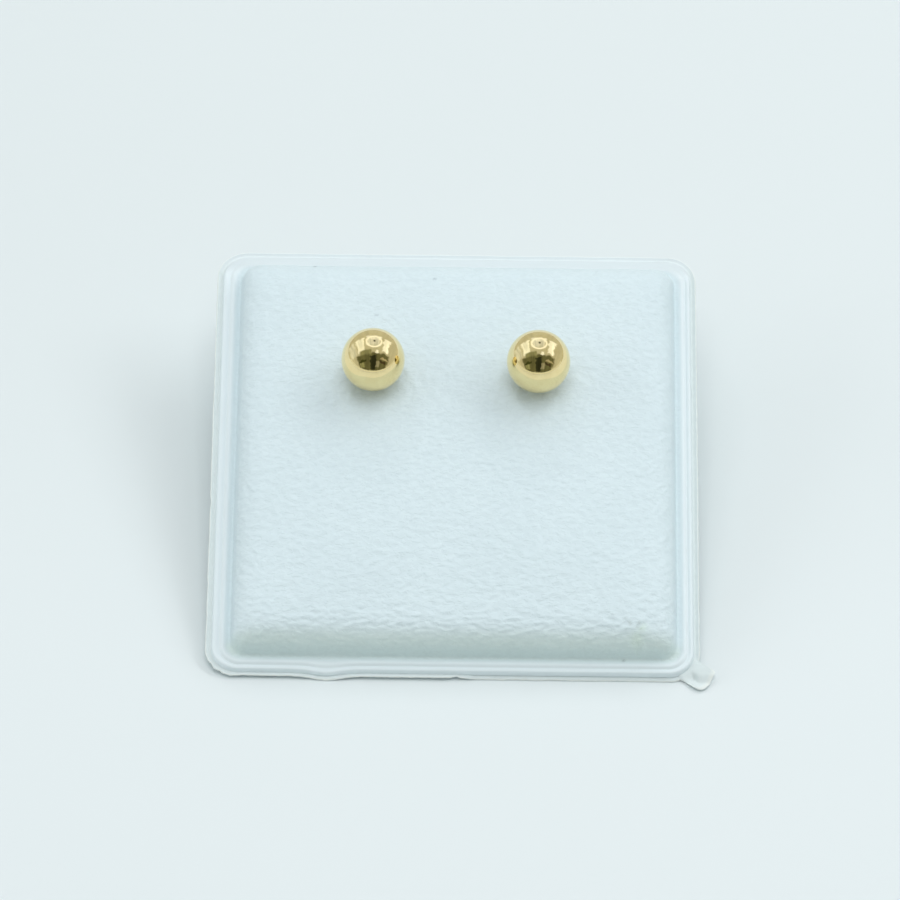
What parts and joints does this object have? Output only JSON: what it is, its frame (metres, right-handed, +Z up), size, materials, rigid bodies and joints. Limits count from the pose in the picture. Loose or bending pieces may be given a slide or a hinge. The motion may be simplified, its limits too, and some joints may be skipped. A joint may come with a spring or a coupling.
{
  "type": "pair of ball stud earrings on a padded display card",
  "caption": "Polished gold ball stud earrings pinned through a square puffed leatherette display card, with a friction back on each post.",
  "frame": {"origin": "under the middle of the whole object's box, on the surface that it lies on", "axes": "+X across the card to its right, seen from the front, +Y from the card's bottom edge towards its raised top edge, +Z up"},
  "size_m": [0.0474, 0.0456, 0.0172],
  "materials": {
    "leatherette_cover": "white embossed leatherette, satin",
    "leatherette_back": "plain white vinyl sheet, matte",
    "yellow_gold": "mirror-polished yellow gold",
    "yellow_gold_clutch": "stamped and tumbled yellow gold sheet"
  },
  "bodies": {
    "root": {"pad_cushion": "leatherette_cover", "pad_backing": "leatherette_back", "left_stud": "yellow_gold", "right_stud": "yellow_gold", "left_clutch": "yellow_gold_clutch", "right_clutch": "yellow_gold_clutch"}
  },
  "joints": []
}
